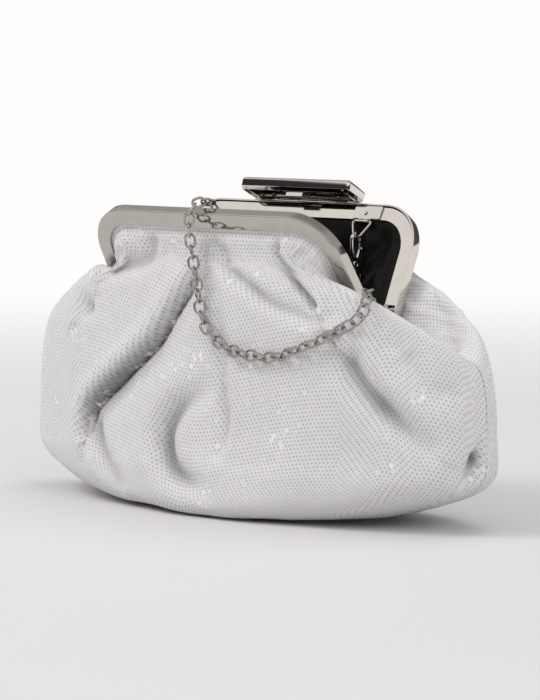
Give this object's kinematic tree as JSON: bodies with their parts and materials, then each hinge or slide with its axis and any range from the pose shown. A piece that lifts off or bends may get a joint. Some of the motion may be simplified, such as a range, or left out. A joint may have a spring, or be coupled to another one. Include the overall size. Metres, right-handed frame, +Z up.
{
  "type": "evening bag",
  "caption": "Evening bag: a gathered sequin pouch with a black lining on a hinged metal frame, closed by a sprung bar clasp, with a cable chain on lobster claws.",
  "frame": {"origin": "middle of the footprint, on the surface the bag stands on", "axes": "+X along the frame and its hinge axis, to the end with the chain fittings; -Y is the front, whose frame half is plain; the clasp bar is on the +Y half; +Z up"},
  "size_m": [0.296, 0.1056, 0.1629],
  "materials": {
    "sequin_fabric": "white and silver micro sequins on a soft fabric, satin sparkle",
    "wadding": "matt felted wadding",
    "lining": "black satin",
    "nickel": "polished nickel plate",
    "chain": "polished nickel plate",
    "spring_steel": "drawn spring wire"
  },
  "bodies": {
    "pouch": {"front_panel": "sequin_fabric", "front_wadding": "wadding", "front_lining": "lining", "rear_panel": "sequin_fabric", "rear_wadding": "wadding", "rear_lining": "lining", "hinge_rivet_left": "nickel", "hinge_rivet_right": "nickel", "chain_outer": "chain", "chain_inner": "chain"},
    "rear_frame": {"rear_frame": "nickel", "rear_retaining_strip": "nickel", "clasp_bracket_left": "nickel", "clasp_bracket_right": "nickel", "clasp_pin": "nickel", "clasp_spring": "spring_steel", "chain_tab": "nickel", "tab_rivet": "nickel"},
    "front_frame": {"front_frame": "nickel", "front_retaining_strip": "nickel"},
    "clasp_bar": {"clasp_bar": "nickel", "clasp_catch": "nickel"},
    "d_ring": {"d_ring": "nickel"},
    "inner_claw": {"inner_claw": "nickel"},
    "inner_claw_lever": {"inner_claw_lever": "nickel"},
    "hinge_eye": {"hinge_eye": "nickel"},
    "outer_claw": {"outer_claw": "nickel"},
    "outer_claw_lever": {"outer_claw_lever": "nickel"}
  },
  "joints": [
    {"name": "rear_frame_hinge", "type": "hinge", "parent": "pouch", "child": "rear_frame", "pos_m": [0, 0, 0.0885], "axis": [1, 0, 0], "range_deg": [-12, 29], "deforming": ["rear_panel", "rear_wadding", "rear_lining", "chain_inner"]},
    {"name": "front_frame_hinge", "type": "hinge", "parent": "pouch", "child": "front_frame", "pos_m": [0, 0, 0.0885], "axis": [-1, 0, 0], "range_deg": [-12, 29], "deforming": ["front_panel", "front_wadding", "front_lining", "chain_outer"]},
    {"name": "clasp_bar_hinge", "type": "hinge", "parent": "rear_frame", "child": "clasp_bar", "pos_m": [0, 0.03725, 0.15387], "axis": [-1, 0, 0], "range_deg": [0, 22], "stiffness_Nm_per_rad": 0.02, "springref_deg": -17.19},
    {"name": "d_ring_hinge", "type": "hinge", "parent": "rear_frame", "child": "d_ring", "pos_m": [0.0449, 0.02865, 0.14303], "axis": [1, 0, 0], "range_deg": [-45, 6]},
    {"name": "inner_claw_hinge", "type": "hinge", "parent": "d_ring", "child": "inner_claw", "pos_m": [0.0449, 0.02388, 0.1354], "axis": [1, 0, 0], "range_deg": [-45, 6]},
    {"name": "inner_claw_lever_hinge", "type": "hinge", "parent": "inner_claw", "child": "inner_claw_lever", "pos_m": [0.0449, 0.02483, 0.1254], "axis": [1, 0, 0], "range_deg": [0, 22], "stiffness_Nm_per_rad": 0.001, "springref_deg": -17.19},
    {"name": "hinge_eye_hinge", "type": "hinge", "parent": "pouch", "child": "hinge_eye", "pos_m": [0.087, 0, 0.0885], "axis": [1, 0, 0], "range_deg": [-30, 4]},
    {"name": "outer_claw_hinge", "type": "hinge", "parent": "hinge_eye", "child": "outer_claw", "pos_m": [0.0896, 0, 0.1005], "axis": [1, 0, 0], "range_deg": [-60, 2]},
    {"name": "outer_claw_lever_hinge", "type": "hinge", "parent": "outer_claw", "child": "outer_claw_lever", "pos_m": [0.0896, -0.00973, 0.103], "axis": [-1, 0, 0], "range_deg": [0, 22], "stiffness_Nm_per_rad": 0.001, "springref_deg": -17.19}
  ],
  "couplings": [
    {"joint": "front_frame_hinge", "follows": "rear_frame_hinge", "ratio": 1}
  ]
}
